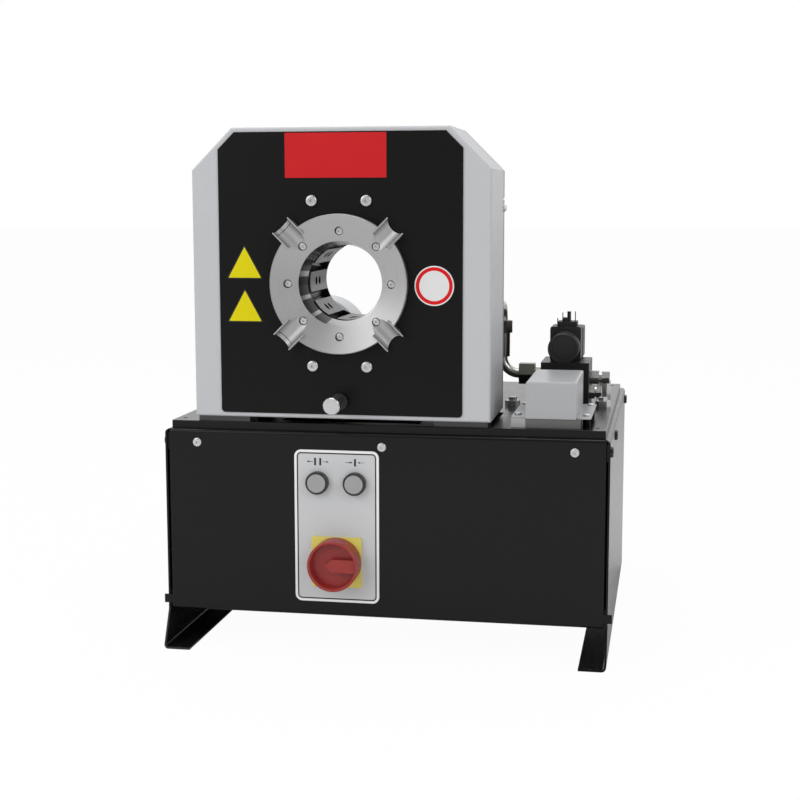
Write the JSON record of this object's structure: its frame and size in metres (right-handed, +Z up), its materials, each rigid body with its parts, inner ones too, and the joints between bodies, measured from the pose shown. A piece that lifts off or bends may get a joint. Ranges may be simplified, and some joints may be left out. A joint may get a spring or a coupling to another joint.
{
  "type": "hose crimping machine",
  "caption": "Bench hydraulic hose crimper: eight-jaw ring-piston head with tool gutters on a sheet-metal power unit with buttons, main switch, motor and valve.",
  "frame": {"origin": "centre of the four floor-bolt holes, on the floor", "axes": "+X to the operator's right, +Y to the back, +Z up; the jaws' axis runs along Y"},
  "size_m": [0.601, 0.6076, 0.691],
  "materials": {
    "black_powder_coat": "gloss",
    "silver_paint": "satin",
    "steel_plate": "matt",
    "ring_steel": "satin",
    "hard_steel": "satin",
    "zinc_screws": "satin",
    "black_bolts": "matt",
    "seal_rubber": "matt",
    "bright_steel": "satin",
    "zinc_fittings": "satin",
    "control_plate_white": "satin",
    "bezel_metal": "satin",
    "button_grey": "matt",
    "black_plastic": "matt",
    "switch_yellow": "satin",
    "switch_red": "satin",
    "black_anodised": "satin"
  },
  "bodies": {
    "machine": {"left_side_panel": "black_powder_coat", "right_side_panel": "black_powder_coat", "front_panel": "black_powder_coat", "rear_panel": "black_powder_coat", "floor_tray": "black_powder_coat", "cross_rails": "black_powder_coat", "lid": "black_powder_coat", "head_saddle": "black_powder_coat", "head_brackets": "black_powder_coat", "front_fascia": "black_powder_coat", "oil_tank": "black_powder_coat", "head_skin": "silver_paint", "head_rear_cover": "silver_paint", "relay_box": "silver_paint", "motor_body": "silver_paint", "motor_cowl": "silver_paint", "tail_guard": "silver_paint", "front_pressure_plate": "steel_plate", "rear_pressure_plate": "steel_plate", "cylinder_housing": "steel_plate", "pump_body": "steel_plate", "face_ring": "ring_steel", "cabinet_screws": "zinc_screws", "head_screws": "zinc_screws", "head_bracket_bolts": "zinc_screws", "face_ring_screws": "zinc_screws", "tie_bolts": "black_bolts", "relay_box_standoffs": "seal_rubber", "stop_bush": "bright_steel", "pressure_pipes": "bright_steel", "pipe_fittings": "zinc_fittings", "control_plate": "control_plate_white", "button_bezels": "bezel_metal", "button_contact_blocks": "black_plastic", "switch_body": "black_plastic", "contactor": "black_plastic", "solenoid_coil": "black_plastic", "solenoid_nut": "black_plastic", "coil_socket": "black_plastic", "cable_gland": "black_plastic", "filler_cap": "black_plastic", "switch_plate": "switch_yellow", "manifold_block": "black_anodised", "valve_body": "black_anodised"},
    "wedge_piston": {"wedge_piston": "hard_steel", "piston_seal": "seal_rubber"},
    "die_jaw_1": {"die_jaw_1": "hard_steel"},
    "die_jaw_2": {"die_jaw_2": "hard_steel"},
    "die_jaw_3": {"die_jaw_3": "hard_steel"},
    "die_jaw_4": {"die_jaw_4": "hard_steel"},
    "die_jaw_5": {"die_jaw_5": "hard_steel"},
    "die_jaw_6": {"die_jaw_6": "hard_steel"},
    "die_jaw_7": {"die_jaw_7": "hard_steel"},
    "die_jaw_8": {"die_jaw_8": "hard_steel"},
    "open_button": {"open_button": "button_grey"},
    "close_button": {"close_button": "button_grey"},
    "switch_knob": {"switch_knob": "switch_red"},
    "stop_knob": {"stop_knob": "bright_steel"},
    "valve_spool": {"valve_spool": "hard_steel"},
    "motor_rotor": {"motor_rotor": "hard_steel"}
  },
  "joints": [
    {"name": "piston_slide", "type": "slide", "parent": "machine", "child": "wedge_piston", "axis": [0, -1, 0], "range_m": [0, 0.042]},
    {"name": "jaw_1_slide", "type": "slide", "parent": "machine", "child": "die_jaw_1", "axis": [-1, 0, 0], "range_m": [0, 0.0126]},
    {"name": "jaw_2_slide", "type": "slide", "parent": "machine", "child": "die_jaw_2", "axis": [-0.7071, 0, -0.7071], "range_m": [0, 0.0126]},
    {"name": "jaw_3_slide", "type": "slide", "parent": "machine", "child": "die_jaw_3", "axis": [0, 0, -1], "range_m": [0, 0.0126]},
    {"name": "jaw_4_slide", "type": "slide", "parent": "machine", "child": "die_jaw_4", "axis": [0.7071, 0, -0.7071], "range_m": [0, 0.0126]},
    {"name": "jaw_5_slide", "type": "slide", "parent": "machine", "child": "die_jaw_5", "axis": [1, 0, 0], "range_m": [0, 0.0126]},
    {"name": "jaw_6_slide", "type": "slide", "parent": "machine", "child": "die_jaw_6", "axis": [0.7071, 0, 0.7071], "range_m": [0, 0.0126]},
    {"name": "jaw_7_slide", "type": "slide", "parent": "machine", "child": "die_jaw_7", "axis": [0, 0, 1], "range_m": [0, 0.0126]},
    {"name": "jaw_8_slide", "type": "slide", "parent": "machine", "child": "die_jaw_8", "axis": [-0.7071, 0, 0.7071], "range_m": [0, 0.0126]},
    {"name": "open_button_press", "type": "slide", "parent": "machine", "child": "open_button", "axis": [0, 1, 0], "range_m": [0, 0.004], "stiffness_N_per_m": 400},
    {"name": "close_button_press", "type": "slide", "parent": "machine", "child": "close_button", "axis": [0, 1, 0], "range_m": [0, 0.004], "stiffness_N_per_m": 400},
    {"name": "main_switch_turn", "type": "hinge", "parent": "machine", "child": "switch_knob", "pos_m": [-0.0606, -0.2608, 0.1242], "axis": [0, 1, 0], "range_deg": [0, 90]},
    {"name": "stop_knob_slide", "type": "slide", "parent": "machine", "child": "stop_knob", "axis": [0, 1, 0], "range_m": [0, 0.025]},
    {"name": "valve_spool_shift", "type": "slide", "parent": "machine", "child": "valve_spool", "axis": [0, 1, 0], "range_m": [-0.003, 0.003], "stiffness_N_per_m": 1500},
    {"name": "motor_spin", "type": "hinge", "parent": "machine", "child": "motor_rotor", "pos_m": [-0.1837, 0, 0.3794], "axis": [0, 1, 0], "continuous": true}
  ],
  "couplings": [
    {"joint": "jaw_1_slide", "follows": "piston_slide", "ratio": 0.3},
    {"joint": "jaw_2_slide", "follows": "piston_slide", "ratio": 0.3},
    {"joint": "jaw_3_slide", "follows": "piston_slide", "ratio": 0.3},
    {"joint": "jaw_4_slide", "follows": "piston_slide", "ratio": 0.3},
    {"joint": "jaw_5_slide", "follows": "piston_slide", "ratio": 0.3},
    {"joint": "jaw_6_slide", "follows": "piston_slide", "ratio": 0.3},
    {"joint": "jaw_7_slide", "follows": "piston_slide", "ratio": 0.3},
    {"joint": "jaw_8_slide", "follows": "piston_slide", "ratio": 0.3}
  ]
}
